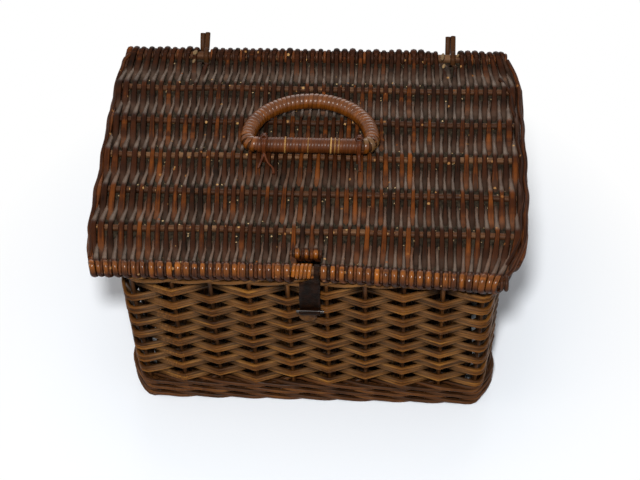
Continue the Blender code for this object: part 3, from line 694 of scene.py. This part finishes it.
# Lift, width, lean in millimetres and dust with painted reflection on the way from one stick to the
# next: over the first stick and down into painted shade, and up out of the packed dust in a thin
# spike to the next.
raised_part = {0.0: (0.95, 0.8, -0.8, 0.3), 0.1: (1.0, 0.82, -0.8, 0.15),
               0.5: (0.66, 1.15, -0.4, 0.25), 0.7: (0.0, 1.6, -0.1, 0.3),
               0.9: (-0.5, 1.62, 0.0, 0.35)}
rising_part = {0.0: (-0.9, 1.65, -0.2, 0.5), 0.1: (-0.5, 1.65, -0.1, 0.5),
               0.5: (0.2, 0.6, 0.15, 0.8), 0.7: (0.26, 0.64, -0.35, 0.9),
               0.9: (0.36, 0.8, -0.9, 1.0)}
height_shares = {0.0: 1.0, 0.1: 0.86, 0.5: 0.0, 0.7: -0.5, 0.9: -0.86}
for count in range(lid_runs):
    x = run_place(count)
    x_next = run_place(min(count + 1, lid_runs - 1))
    going_front = count % 2 == 0
    pair_front = (count, count + 1) if going_front else (count - 1, count)
    slotted = all(slot_edges[0] < run_place(k) < slot_edges[1] for k in pair_front)
    crossings = list(enumerate(stick_rows[:6]))
    if count in short_ends:
        crossings[0] = (0, lid_half_depth - short_ends[count])
    crossings.append((6, slot_stick_y if slotted else stick_rows[6] + short_fronts.get(count, 0.0)))
    outermost = count in (0, lid_runs - 2, lid_runs - 1)
    bulge = side_bulge * max(0.0, abs(x) / run_half - 0.97) / 0.03
    overhang = 0.2 * min(2.0, max(0.0, (abs(x) - 0.13) / 0.025))
    aslant = min(1.0, max(-0.3, (0.05 - x) / 0.12))
    thick = 1 + chance.normal(0.0, run_unevenness)
    uneven = chance.normal(0.0, crossing_unevenness)
    mark = chance.random()
    body = []
    for (number, y), (_, y_next) in zip(crossings, crossings[1:]):
        side = 1 if (number + count) % 2 == 0 else -1
        jitter = chance.normal(0.0, run_wander)
        for step, share in height_shares.items():
            if step == 0.0 and number == 0:
                continue
            if number == 0 and count in short_ends:
                share *= step
            spread = math.copysign(bulge * math.sin(math.pi * step) ** 2, x)
            lift, width, lean, dust_sheen_amount = (raised_part if side > 0 else rising_part)[step]
            if outermost:
                lift, width, lean, dust_sheen_amount, share = 0.7, 0.85, 0.0, 0.3, share * 0.5
            body.append((x + jitter + spread + 0.001 * lean * aslant, y + (y_next - y) * step,
                         side * share, lift,
                         width + overhang + (uneven if side > 0 and step < 0.2 else 0.0), dust_sheen_amount))
    if not going_front:
        body.reverse()
    if count == 0:
        for angle in (-90, -20, 45, 90):
            a = math.radians(angle)
            lay(x, lid_half_depth + end_turn * math.cos(a), lid_level + end_turn * math.sin(a),
                1.0, 1.1, mark)
    for px, py, rise, lift, width, dust_sheen_amount in body:
        far = max(0.0, py) / lid_half_depth
        lay(px, py, lid_level + stick_turn * rise, lift, width + thick - 1,
            mark * (1 - 0.45 * far), min(1.0, dust_sheen_amount + 0.4 * far))
    if count == lid_runs - 1:
        break
    number, y = crossings[-1] if going_front else crossings[0]
    side = 1 if (number + count) % 2 == 0 else -1
    ahead = -1 if going_front else 1
    if count in (short_fronts if going_front else short_ends):
        for angle in (60, 0, -60):
            lay(x + (x_next - x) * (60 - angle) / 120,
                y + ahead * short_turn * math.cos(math.radians(angle)), lid_level, 0.2, 1.0, mark)
        continue
    if going_front and slotted:
        turn = slot_turn
    else:
        turn = end_turn + chance.uniform(-0.0001, 0.0006)
    bead = chance.uniform(-0.08, 0.4) if turn > slot_turn else 0.0
    for angle in (85, 50, 15, -20, -55, -90):
        a = math.radians(angle)
        bottom = max(0.0, -side * angle - 20) / 70
        share = bottom if side > 0 else 1 - bottom
        girth = (1 + bead) * (1 - bottom) + 1.6 * bottom
        wide = turn + (girth - 1) * run_thickness / 2
        # A front turn is rubbed golden and glossy over the top and darkens to painted shade
        # underneath. A back turn's underside is painted shade.
        if going_front:
            lift = float(np.interp(side * angle, (-85, -52, -20, 15, 50),
                                   (-0.4, 0.0, 0.8, 1.16, 1.3)))
            tone, dust_sheen_amount = 0.3 + 0.35 * mark, 0.0
        else:
            lift = 0.95 if side * angle > -50 else -0.4
            tone, dust_sheen_amount = 0.5 * mark, 0.3
        lay(x + (x_next - x) * share, y + ahead * wide * math.cos(a),
            lid_level + side * wide * math.sin(a), lift, thick * girth, tone, dust_sheen_amount)
lid_weave = lay_rods("lid_weave", [lid_path], run_width, run_thickness, lid_willow,
                     sides=8, steps=2)
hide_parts("lid_weaver")
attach(lid_weave, "lid")


# Filler turns: between the runs' turns the front and back sticks, and the short stick at
# the slot, are wound with thinner willow, so that no bare wood shows between the beads.
filler_width = 0.0034
filler_thickness = 0.0024
filler_slot_radius = 0.0035


def hoop(x, y, z, radius):
    """Points of a ring round a stick."""
    return [(x, y + radius * math.cos(a), z + radius * math.sin(a))
            for a in np.linspace(0, 2 * math.pi, 12, endpoint=False)]


ring_paths = []
for count in range(1, lid_runs, 2):
    rings = []
    for y in (-lid_half_depth, lid_half_depth):
        x = drawn(run_place(count), y)
        if y < 0 and slot_edges[0] - 0.003 < x < slot_edges[1] + 0.001:
            continue
        if y > 0 and any(-0.0115 < x - place < 0.007 for place in hinge_places):
            continue
        rings.append([sagged(*spot) for spot in
                      hoop(x + run_sway(x, y), y, lid_level,
                           end_stick_radius + filler_thickness / 2)])
    if slot_edges[0] < run_place(count) < slot_edges[1]:
        rings.append(hoop(run_place(count), slot_stick_y, lid_level,
                          filler_slot_radius))
    # Their low lift gives them a touch of painted shade between the beads.
    ring_paths += [{"points": ring, "side": along_x, "lift": 0.1, "dust_and_sheen": 0.1, "closed": True}
                   for ring in rings]
edge_rings = lay_rods("edge_turns", ring_paths, filler_width, filler_thickness, lid_willow,
                      sides=8, steps=2)
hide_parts("lid_weaver")
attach(edge_rings, "lid")


# Rods of the same stained willow lie along the lid's two sides over the stick ends, and
# close the weave. On the right, two turn round the front corner and end on the front stick.
side_lines = {"left": [[(-0.1795, 0.1325), (-0.1862, 0.122), (-0.1893, 0.103), (-0.1903, 0.070),
                        (-0.1903, 0.0), (-0.1903, -0.045), (-0.1895, -0.09), (-0.1850, -0.126)]],
              "right": [[(0.1790, 0.128), (0.1875, 0.108), (0.1900, 0.065), (0.1915, 0.014),
                         (0.1920, -0.036), (0.1910, -0.070), (0.1875, -0.098), (0.1810, -0.117),
                         (0.1735, -0.1290), (0.1655, -0.1365)],
                        [(0.1725, 0.104), (0.1810, 0.085), (0.1865, 0.045), (0.1885, 0.0),
                         (0.1885, -0.045), (0.1862, -0.080), (0.1815, -0.102), (0.1745, -0.116),
                         (0.1660, -0.1265)]]}
side_wave = 0.0445
side_width = 0.0044
side_thickness = 0.0036
side_paths = []
for lines in side_lines.values():
    for number, line in enumerate(lines):
        line = np.array(line)[::-1]
        for_y = np.linspace(line[0, 1], line[-1, 1], 24)
        for_x = np.interp(for_y, line[:, 1], line[:, 0])
        for_x += np.copysign(0.0008, for_x) * np.sin(2 * math.pi * for_y / side_wave + 2.0)
        rises = 0.0042 - 0.0015 * number + 0.0012 * np.sin(
            2 * math.pi * (for_y / (2 * side_wave) + 0.25 * number))
        side_paths.append({"points": [sagged(x, y, lid_level + rise)
                                      for x, y, rise in zip(for_x, for_y, rises)],
                           "side": upward, "lift": 0.8, "dust_and_sheen": 0.5, "mark": 0.75 - 0.3 * number})
side_rods = lay_rods("side_rods", side_paths, side_width, side_thickness, lid_willow,
                     sides=8, steps=3)
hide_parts("lid_weaver")
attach(side_rods, "lid")


# Torn ends: beside both hinge loops a few of the lid's rods have broken off, and their
# flattened ends show pale, dry and fibrous wood without stain.
torn_wood = willow("torn_willow_pale", "#5d4a35", "#8f7654", "#b9a482", "#7d7361", "#2a2018",
                   0.6, 0.3, shine=0.1, rough_skin=0.9)
torn_width = 0.0042
torn_thickness = 0.0024
torn_paths = []
for x, y, level, reach, wide in ((-0.1190, 0.1300, 0.1965, 0.0032, 1.1),
                                 (-0.1195, 0.1200, 0.1945, 0.0026, 0.8),
                                 (0.1180, 0.1290, 0.1968, 0.0045, 1.0),
                                 (0.1192, 0.1185, 0.1945, 0.0028, 0.8),
                                 (0.1325, 0.1310, 0.1970, 0.0020, 0.6)):
    torn_paths.append({"points": [(x + 0.0006 * k, y + reach * k, level - 0.0005 * k * k)
                                  for k in (-1.0, -0.3, 0.3, 1.0)],
                       "side": along_x, "lift": 0.9, "dust_and_sheen": 0.3,
                       "girth": [0.6 * wide, wide, 0.9 * wide, 0.45 * wide]})
torn_ends = lay_rods("torn_ends", torn_paths, torn_width, torn_thickness, torn_wood,
                     sides=7, steps=3)
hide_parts("lid_weaver")
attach(torn_ends, "lid")


# Old dust is packed between the lid's rods, so that the parts that dip vanish in it. It is matt
# olive brown with pale crumbs, dust and painted shade deep in the weave in one, and lies as a thin
# uneven layer half way up the weave.
dust_columns = 161
dust_rows = 121
dust_half_width = 0.1845
dust_half_depth = 0.1325
dust_drop = 0.0008
dust_depth = 0.0006
dust_lumps = 0.00012
slot_air = 0.0007
dust_and_shade_sheet = bpy.data.materials.new("dust_and_shade_sheet")
tree = cleared(dust_and_shade_sheet)
spot = add(tree, "ShaderNodeTexCoord").outputs["Object"]
drift = add(tree, "ShaderNodeTexNoise", {"Vector": spot, "Scale": 260.0, "Detail": 5.0,
                                         "Roughness": 0.7})
share = add(tree, "ShaderNodeMapRange", {"Value": drift, "From Min": 0.35, "From Max": 0.7})
tint = add(tree, "ShaderNodeMix", {"Factor": share, "A": paint("#120e0a"), "B": paint("#41382c")},
           data_type="RGBA")
tint = add(tree, "ShaderNodeMix", {"Factor": crumbs(tree, 330.0, (0.34, 0.2), 0.1)[0], "A": tint,
                                   "B": paint("#b9a078")}, data_type="RGBA")
lumps = add(tree, "ShaderNodeBump", {"Height": drift, "Strength": 0.8, "Distance": 0.0008})
shader = add(tree, "ShaderNodeBsdfPrincipled", {"Base Color": tint, "Roughness": 0.95,
                                                "Specular IOR Level": 0.1, "Normal": lumps})
add(tree, "ShaderNodeOutputMaterial", {"Surface": shader})
upper, faces = [], []
for row in range(dust_rows):
    for column in range(dust_columns):
        x = dust_half_width * (2 * column / (dust_columns - 1) - 1)
        y = dust_half_depth * (2 * row / (dust_rows - 1) - 1)
        upper.append(sagged(drawn(x, y), y,
                            lid_level - dust_drop + chance.normal(0.0, dust_lumps)))
for row in range(dust_rows - 1):
    for column in range(dust_columns - 1):
        a = row * dust_columns + column
        face = (a, a + 1, a + dust_columns + 1, a + dust_columns)
        x, y = np.mean([upper[k][:2] for k in face], axis=0)
        in_slot = (slot_edges[0] - slot_air < x < slot_edges[1] + slot_air
                   and y < slot_stick_y - 0.001)
        if not in_slot:
            faces.append(face)
used = sorted({k for face in faces for k in face})
place_of = {k: number for number, k in enumerate(used)}
upper = [upper[k] for k in used]
faces = [tuple(place_of[k] for k in face) for face in faces]
lower = [(x, y, z - dust_depth) for x, y, z in upper]
first_lower = len(upper)
edges = {edge for face in faces for edge in zip(face, face[1:] + face[:1])}
faces += [tuple(first_lower + k for k in reversed(face)) for face in faces]
faces += [(b, a, first_lower + a, first_lower + b)
          for a, b in sorted(edges) if (b, a) not in edges]
dust_and_shade_layer = stand_mesh("dust_and_shade_sheet", upper + lower, faces, dust_and_shade_sheet)
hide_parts("lid_weaver")
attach(dust_and_shade_layer, "lid")


# The slot for the strap: a short stick lies across four runs that stop short of the front, and a
# tight coil of the lid's stained willow covers the bare front stick in front of it.
slot_stick_half = 0.0134
slot_rod = lay_rods("slot_stick", [{"points": [(x, slot_stick_y, lid_level) for x in
                                               np.linspace(-slot_stick_half, slot_stick_half, 5)],
                                    "side": along_y, "lift": 0.2}],
                    2 * slot_stick_radius, 2 * slot_stick_radius, stick_willow, sides=12)
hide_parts("slot_stick")
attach(slot_rod, "lid")

coil_turns = 5
coil_width = 0.0036
coil_thickness = 0.0024
coil_left = -0.0092
coil_right = 0.0078
coil_radius = end_stick_radius + 0.0013
coil_steps = coil_turns * 12
coil_points = []
for step in range(coil_steps + 1):
    share = step / coil_steps
    angle = 2 * math.pi * coil_turns * share
    coil_points.append((coil_left + (coil_right - coil_left) * share,
                        -lid_half_depth - coil_radius * math.cos(angle),
                        lid_level + coil_radius * math.sin(angle)))
slot_coil = lay_rods("slot_coil",
                     [{"points": coil_points, "side": along_x, "lift": 1.3, "mark": 0.8}],
                     coil_width, coil_thickness, lid_willow, sides=8, steps=2)
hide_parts("slot_binding")
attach(slot_coil, "lid")


# The handle is a thick rod bent to a D, its bow and its straight bar both wound closely with narrow
# cane. The bow's cane still has its golden gloss, with painted shade in the grooves between its
# turns. The bar's is worn redder and duller, and five of its turns have been renewed with pale
# cane.
cane = willow("wrapping_cane_glossy", "#3a1c05", "#703d0e", "#ab7428", "#6f5f40", "#1c0f05",
              0.28, 0.8, shine=0.32, groove_shade_share=0.3)
bar_cane_worn = willow("wrapping_cane_worn", "#2e1406", "#5e3112", "#925f2c", "#8a7b70",
                       "#1c0f08", 0.36, 0.2, shine=0.2, groove_shade_share=0.35)
fresh_cane = willow("wrapping_cane_fresh", "#4f341a", "#8a6231", "#bc955a", "#8d8070",
                    "#1c0f08", 0.36, 0.2, shine=0.2, groove_shade_share=0.2)
bar_y = 0.002
bar_level = 0.2028918
bar_half = 0.0481
bow_half_width = 0.0561
bow_corner = bow_half_width - bar_half
bow_centre_y = 0.010
bow_depth = 0.0489
handle_radius = 0.0073
handle_shift = -0.0022
cane_thick = 0.0012
bow_cane_width = 0.0047
bow_turns = 47
bar_cane_width = 0.0038
bar_turns = 34
fresh_width = 0.0016
fresh_thickness = 0.0008


def bow_line(turns_share):
    """A point of the D's bow and its heading, from the left end round to the right one."""
    quarter = math.pi / 2 * bow_corner
    arc = math.pi * math.sqrt((bow_half_width ** 2 + bow_depth ** 2) / 2)
    whole = arc + 2 * quarter
    run = turns_share * whole
    if quarter <= run <= whole - quarter:
        angle = math.pi * (run - quarter) / arc
        spot = (-bow_half_width * math.cos(angle), bow_centre_y + bow_depth * math.sin(angle))
        heading = (bow_half_width * math.sin(angle), bow_depth * math.cos(angle))
    else:
        hand = -1 if run < quarter else 1
        angle = min(run, whole - run) / bow_corner
        spot = (hand * (bar_half + bow_corner * math.sin(angle)),
                bow_centre_y - bow_corner * math.cos(angle))
        heading = (-math.cos(angle), -hand * math.sin(angle))
    length = math.hypot(*heading)
    return (Vector((spot[0] + handle_shift, spot[1], bar_level)),
            Vector((heading[0] / length, heading[1] / length, 0.0)))


def bar_line(share):
    """A point of the D's straight bar and its heading."""
    return Vector((handle_shift + bar_half * (2 * share - 1), bar_y, bar_level)), Vector(along_x)


def winding(line, turns, radius, dulled=1.0):
    """The path of a strip wound round a line. Past the dulled share its turns are dusty, but
    for the last few."""
    points, sides = [], []
    steps = int(turns * 14)
    for step in range(steps + 1):
        spot, heading = line(step / steps)
        angle = 2 * math.pi * turns * step / steps
        outward = heading.cross(Vector(upward))
        loose = radius + chance.normal(0.0, 0.00006)
        points.append(spot + loose * (math.cos(angle) * outward
                                      + math.sin(angle) * Vector(upward)))
        sides.append(heading)
    return {"points": points, "side": sides, "mark": 0.3,
            "lift": [0.5 if dulled < step / steps < 0.985 else 0.9 for step in range(steps + 1)]}


bow_cane = lay_rods("bow_cane",
                    [winding(bow_line, bow_turns, handle_radius - cane_thick / 2, dulled=0.945)],
                    bow_cane_width, cane_thick, cane, sides=8, steps=1)
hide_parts("handle_bow_wrapping")
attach(bow_cane, "handle")

bar_cane = lay_rods("bar_cane",
                    [winding(bar_line, bar_turns, handle_radius - cane_thick / 2 - 0.0002)],
                    bar_cane_width, cane_thick, bar_cane_worn, sides=8, steps=1)
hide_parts("handle_bar_wrapping")
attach(bar_cane, "handle")

fresh_paths = []
for x, reach, wide in ((-0.0240, 0.0, 1.0), (-0.0033, -0.00025, 0.8), (0.0173, 0.0, 1.0),
                       (0.0209, -0.0002, 1.0), (0.0243, -0.0003, 0.9)):
    reach += handle_radius
    fresh_paths.append({"points": [(x + 0.0004 * math.sin(a), bar_y + reach * math.cos(a),
                                    bar_level + reach * math.sin(a))
                                   for a in np.linspace(0, 2 * math.pi, 20, endpoint=False)],
                        "side": along_x, "lift": 0.9, "girth": wide, "closed": True})
fresh_turns = lay_rods("bar_fresh_turns", fresh_paths, fresh_width, fresh_thickness, fresh_cane,
                       sides=8, steps=2)
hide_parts("handle_bar_wrapping")
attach(fresh_turns, "handle")

core_radius = handle_radius - cane_thick
core_points = [bow_line(step / 40)[0] for step in range(41)]
core_points += [bar_line(1 - step / 8)[0] for step in range(1, 8)]
core = lay_rods("handle_rod", [{"points": core_points, "side": upward, "closed": True}],
                2 * core_radius, 2 * core_radius, stick_willow, sides=16, steps=2)
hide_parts("handle_core")
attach(core, "handle")


# Ties: a thin dark split rod goes twice round the handle's bar and the lid's middle stick
# at each side, with its ends tucked into the weave in front. It is brown with a dull shine.
tie_cane = willow("tie_cane_dark", "#260e06", "#5e2f14", "#925428", "#5c4a38", "#120703",
                  0.34, 0.1, shine=0.14)
tie_radius = 0.0013
tie_reach = handle_radius + 0.0006 + tie_radius
stick_reach = lid_stick_radius + 0.0003 + tie_radius
tie_legs = {"left": ((-0.0031, -0.0145, 0.1962), (-0.0050, -0.0185, 0.1935)),
            "right": ((0.0008, -0.0150, 0.1965), (0.0010, -0.0205, 0.1940))}
for label, x in zip(("left", "right"), tie_places):
    points = []
    for step in range(13):
        angle = math.radians(-160 - 360 * step / 7)
        high = math.sin(angle) > -0.1
        centre = (bar_y, bar_level) if high else (0.0, lid_level)
        reach = tie_reach if high else stick_reach
        points.append((x - 0.0013 + 0.0026 * step / 12 + chance.normal(0.0, 0.0002),
                       centre[0] + reach * math.cos(angle), centre[1] + reach * math.sin(angle)))
    front = (x, bar_y - tie_reach * 0.96, bar_level - 0.002)
    legs = [[(x + 0.0012, bar_y, bar_level + tie_reach + 0.0006),
             (x + 0.0010, bar_y - tie_reach * 0.75, bar_level + tie_reach * 0.72), front]
            + [(x + reach, y, z) for reach, y, z in tie_legs[label]]]
    if label == "left":
        legs.append([front, (x + 0.0035, -0.0142, 0.1968), (x + 0.0085, -0.0195, 0.1945),
                     (x + 0.0093, -0.0250, 0.1930)])
    knot = [(x + 0.0024 * math.cos(a), bar_y - 0.001 + 0.0015 * math.sin(a),
             bar_level + tie_reach + 0.0012 + 0.001 * math.sin(a))
            for a in np.linspace(0, 2 * math.pi, 8, endpoint=False)]
    tie = lay_rods(f"handle_tie_{label}_rod",
                   [{"points": line, "side": along_x, "lift": 1.0, "dust_and_sheen": 0.3, "mark": 0.4}
                    for line in [points] + legs]
                   + [{"points": knot, "side": upward, "lift": 1.0, "dust_and_sheen": 0.3,
                       "closed": True}],
                   2 * tie_radius, 2 * tie_radius, tie_cane, sides=10, steps=5)
    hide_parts(f"handle_tie_{label}")
    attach(tie, "lid")


# The hasp: a strap of worn black-brown leather hangs from a narrow tongue that passes
# through the slot and round the front stick. Its lower end is folded over a peg.
def leather(name, dark, light, roughness):
    """Material of old leather: pores, creases across the strap and rubbed brown patches."""
    made = bpy.data.materials.new(name)
    tree = cleared(made)
    where = add(tree, "ShaderNodeTexCoord").outputs["Object"]
    rubbed = add(tree, "ShaderNodeTexNoise", {"Vector": where, "Scale": 160.0, "Detail": 4.0})
    pores = add(tree, "ShaderNodeTexVoronoi", {"Vector": where, "Scale": 1400.0})
    stretched = add(tree, "ShaderNodeMapping", {"Vector": where, "Scale": (1.0, 1.0, 5.0)})
    creases = add(tree, "ShaderNodeTexNoise", {"Vector": stretched, "Scale": 170.0,
                                               "Detail": 3.0})
    tone = add(tree, "ShaderNodeMapRange", {"Value": rubbed, "From Min": 0.4, "From Max": 0.72})
    colour = add(tree, "ShaderNodeMix", {"Factor": tone, "A": paint(dark), "B": paint(light)},
                 data_type="RGBA")
    low = add(tree, "ShaderNodeMath", {0: creases, 1: pores}, operation="ADD")
    bumps = add(tree, "ShaderNodeBump", {"Height": low, "Strength": 0.5, "Distance": 0.0006})
    gloss = add(tree, "ShaderNodeMapRange", {"Value": creases, "From Min": 0.35,
                                             "From Max": 0.65, "To Min": roughness - 0.1,
                                             "To Max": roughness + 0.15})
    shader = add(tree, "ShaderNodeBsdfPrincipled", {"Base Color": colour, "Roughness": gloss,
                                                    "Specular IOR Level": 0.05,
                                                    "Normal": bumps})
    add(tree, "ShaderNodeOutputMaterial", {"Surface": shader})
    return made


def strip(name, sections, thickness, finish):
    """A strip of leather: each section gives its left and right X and a point (Y, Z)."""
    middle = np.array([section[2:] for section in sections])
    run = np.gradient(middle, axis=0)
    normal = np.stack([run[:, 1], -run[:, 0]], 1)
    normal /= np.linalg.norm(normal, axis=1)[:, None]
    last = 8
    edge = 0.15 * thickness
    rim = [(0.0, 0.0)] + [(k / last, 0.5) for k in range(last + 1)] + [(1.0, 0.0)]
    rim += [(k / last, -0.5) for k in range(last, -1, -1)]
    points, faces = [], []
    for (left, right, y, z), out in zip(sections, normal):
        for share, lift in rim:
            x = left + (right - left) * share
            if lift == 0.0:
                x += -edge if share == 0.0 else edge
            points.append((x, y + out[0] * lift * thickness, z + out[1] * lift * thickness))
    ring = len(rim)
    for row in range(len(sections) - 1):
        for k in range(ring):
            a, b = row * ring + k, row * ring + (k + 1) % ring
            faces.append((a, b, b + ring, a + ring))
    faces += [tuple(range(ring))[::-1],
              tuple(range((len(sections) - 1) * ring, len(sections) * ring))]
    made = stand_mesh(name, points, faces, finish)
    made.data.shade_smooth()
    made.data.validate()
    return made


strap_leather = leather("black_brown_leather", "#0b0401", "#221005", 0.4)
leather_thick = 0.0016
tongue_reach = end_stick_radius + 0.0003 + leather_thick / 2
strap_y = -0.14312
strap_shoulder = 0.1840
peg_level = 0.1490
fold_radius = 0.0025
peg_y = strap_y - fold_radius
strap_sections = []
for degrees in (247, 225, 202, 180, 157, 135, 112, 90, 67, 45, 22, 0):
    angle = math.radians(degrees)
    strap_sections.append((0.0088, 0.0134, -lid_half_depth - tongue_reach * math.cos(angle),
                           lid_level + tongue_reach * math.sin(angle)))
strap_sections += [(0.0080, 0.0134, -0.1402, 0.1868), (0.0, 0.0138, -0.1420, 0.1852)]
for share in np.linspace(0.0, 1.0, 9):
    strap_sections.append((-0.0036 - 0.0008 * share + 0.0003 * math.sin(9 * share),
                           0.0140 - 0.0006 * share + 0.0003 * math.cos(7 * share),
                           strap_y - 0.0003 * math.sin(math.pi * share),
                           strap_shoulder + (peg_level - strap_shoulder) * share))
for degrees in (-45, -90, -135, -180, -225):
    angle = math.radians(degrees)
    strap_sections.append((-0.0044, 0.0134, peg_y + fold_radius * math.cos(angle),
                           peg_level + fold_radius * math.sin(angle)))
strap = strip("strap", strap_sections, leather_thick, strap_leather)
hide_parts("hasp_strap")
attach(strap, "hasp")

# The peg's willow is blackened by hands, with a thin bright line of shine along its top.
peg_willow = willow("peg_willow_blackened", "#0d0603", "#26130a", "#452a18", "#2a201a",
                    "#0c0603", 0.3, 0.2, shine=0.3)
peg_middle = 0.0047
peg_half = 0.0119
peg_radius = 0.0014
peg_points = [(peg_middle + x, peg_y, peg_level) for x in np.linspace(-peg_half, peg_half, 7)]
peg = lay_rods("peg", [{"points": peg_points, "side": along_y, "lift": 0.9}],
               2 * peg_radius, 2 * peg_radius, peg_willow, sides=10)
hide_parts("hasp_peg")
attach(peg, "hasp")


# The catch: a rounded tab of thicker brown leather, fixed to the front wall just under
# the peg, lighter and browner than the strap.
tab_leather = leather("brown_leather", "#2e1705", "#5e3a12", 0.34)
tab_thick = 0.0021
tab_sections = [(-0.0055, 0.0103, -0.1411 + 0.0006 * share, 0.1462 - 0.0088 * share)
                for share in np.linspace(0.0, 1.0, 6)]
tab_sections += [(0.0024 - 0.0079 * math.cos(a), 0.0024 + 0.0079 * math.cos(a),
                  -0.1405 + 0.0004 * math.sin(a), 0.1374 - 0.0086 * math.sin(a))
                 for a in (0.35, 0.7, 1.0, 1.25, 1.45)]
tab = strip("catch", tab_sections, tab_thick, tab_leather)
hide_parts("catch_tab")
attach(tab, "basket")
